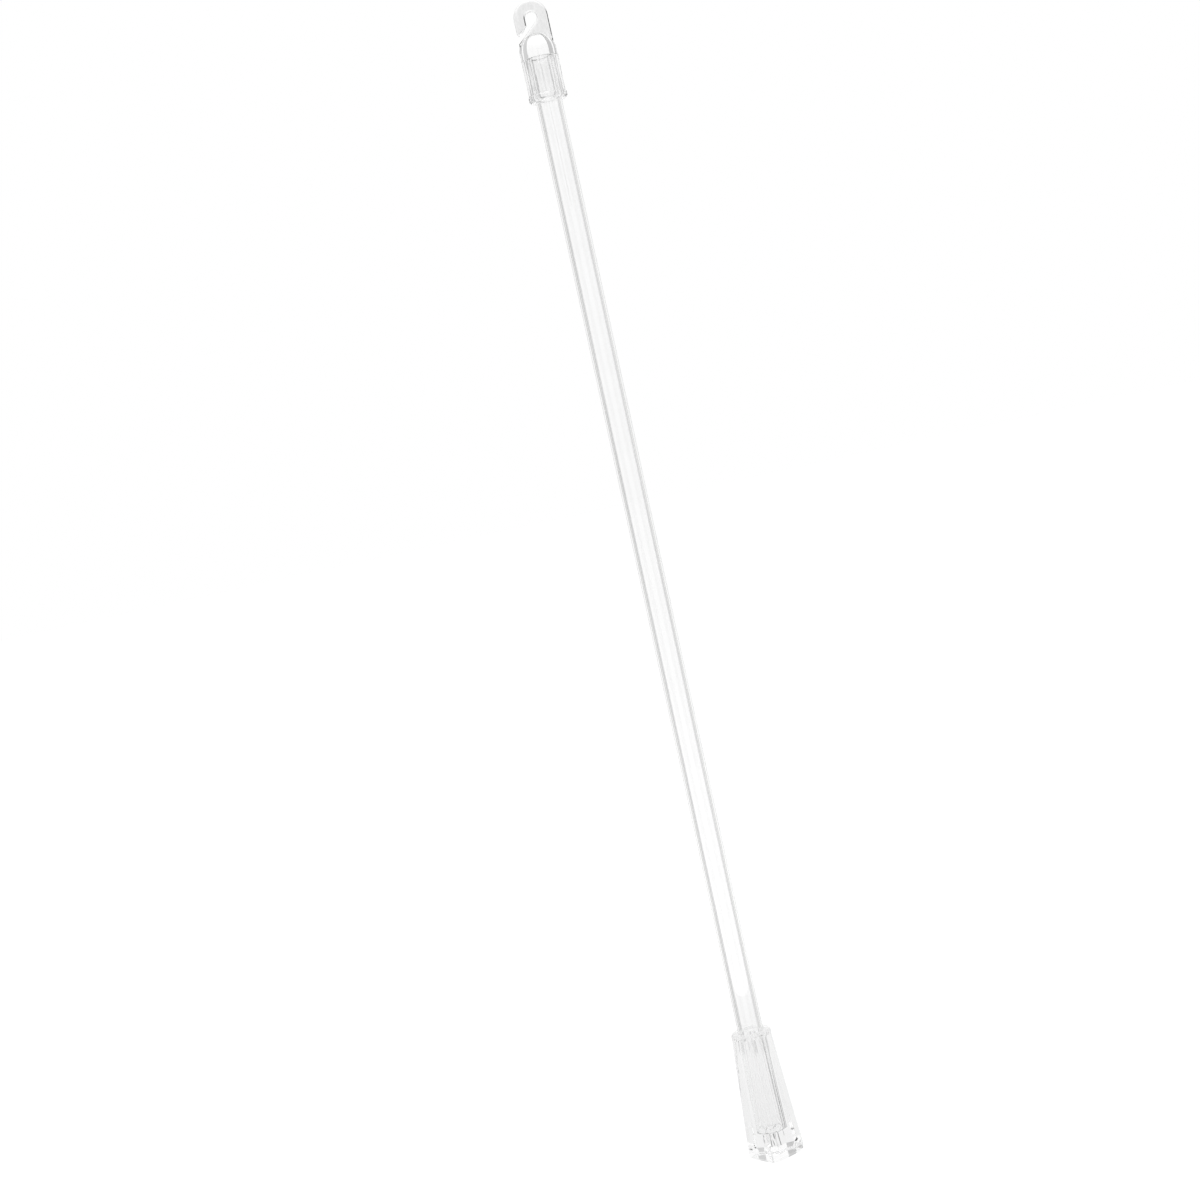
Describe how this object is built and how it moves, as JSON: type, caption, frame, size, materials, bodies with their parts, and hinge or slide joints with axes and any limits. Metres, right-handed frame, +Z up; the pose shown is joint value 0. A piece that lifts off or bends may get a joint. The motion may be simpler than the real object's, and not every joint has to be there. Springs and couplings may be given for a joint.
{
  "type": "curtain wand",
  "caption": "Clear plastic curtain wand: a round tube with an open snap hook on a domed cap at the top and a tapered square grip at the foot, for drawing a curtain by hand.",
  "frame": {"origin": "centre of the hook's eye, half way through the hook's thickness", "axes": "+Z up along the tube, towards the hook; +Y along the eye's axis; the hook's mouth opens to -X and down"},
  "size_m": [0.0176, 0.0176, 0.3636],
  "materials": {
    "clear_tube": "clear extruded acrylic, polished",
    "clear_cap": "clear moulded plastic, polished",
    "clear_grip": "clear moulded plastic, polished"
  },
  "bodies": {
    "root": {"tube": "clear_tube", "hook_cap": "clear_cap", "handle": "clear_grip"}
  },
  "joints": []
}
